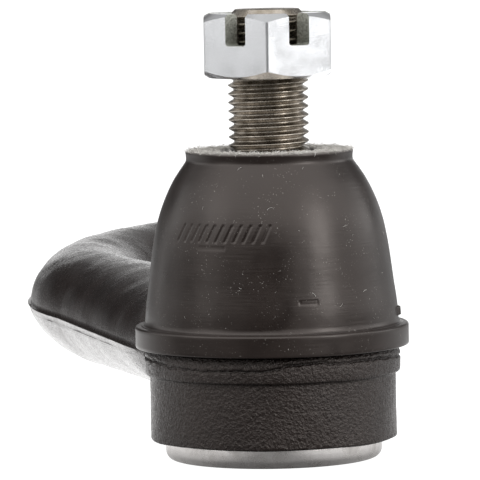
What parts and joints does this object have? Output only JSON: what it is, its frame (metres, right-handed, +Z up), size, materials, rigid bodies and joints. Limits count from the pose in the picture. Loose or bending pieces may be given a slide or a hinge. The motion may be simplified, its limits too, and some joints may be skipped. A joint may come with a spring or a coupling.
{
  "type": "tie rod end",
  "caption": "Ball joint tie rod end with a bowed forged arm, a female threaded shank, a rubber dust boot and a threaded stud with a slotted hexagon nut.",
  "frame": {"origin": "centre of the housing's flat underside, on the stud's axis", "axes": "+Z up along the stud, +Y from the ball towards the female shank, +X to the right, away from the side the arm bows to"},
  "size_m": [0.0721, 0.2819, 0.0785],
  "materials": {
    "coated_forging": "black coated rough forging",
    "plated_steel": "pressed steel, lightly plated",
    "spring_steel": "dark spring steel",
    "seat_polymer": "off-white acetal",
    "stud_steel": "rolled steel with a brownish phosphate tone",
    "boot_rubber": "moulded rubber, half gloss",
    "zinc_plate": "bright zinc plating"
  },
  "bodies": {
    "housing": {"forged_housing": "coated_forging", "closing_plate": "plated_steel", "disc_spring": "spring_steel", "boot_sleeve": "spring_steel"},
    "ball_seats": {"lower_ball_seat": "seat_polymer", "upper_ball_seat": "seat_polymer", "dust_boot": "boot_rubber"},
    "boot_rim": {"boot_neck_ring": "spring_steel"},
    "stud": {"ball_stud": "stud_steel"},
    "nut": {"slotted_nut": "zinc_plate"}
  },
  "joints": [
    {"name": "swing_direction", "type": "hinge", "parent": "housing", "child": "ball_seats", "pos_m": [0, 0, 0.0174], "axis": [0, 0, 1], "continuous": true},
    {"name": "swing", "type": "hinge", "parent": "ball_seats", "child": "boot_rim", "pos_m": [0, 0, 0.0174], "axis": [1, 0, 0], "range_deg": [-22, 22], "deforming": ["dust_boot"]},
    {"name": "stud_turn", "type": "hinge", "parent": "boot_rim", "child": "stud", "pos_m": [0, 0, 0.0174], "axis": [0, 0, 1], "continuous": true},
    {"name": "nut_turn", "type": "hinge", "parent": "stud", "child": "nut", "pos_m": [0, 0, 0.0722], "axis": [0, 0, 1], "continuous": true}
  ]
}
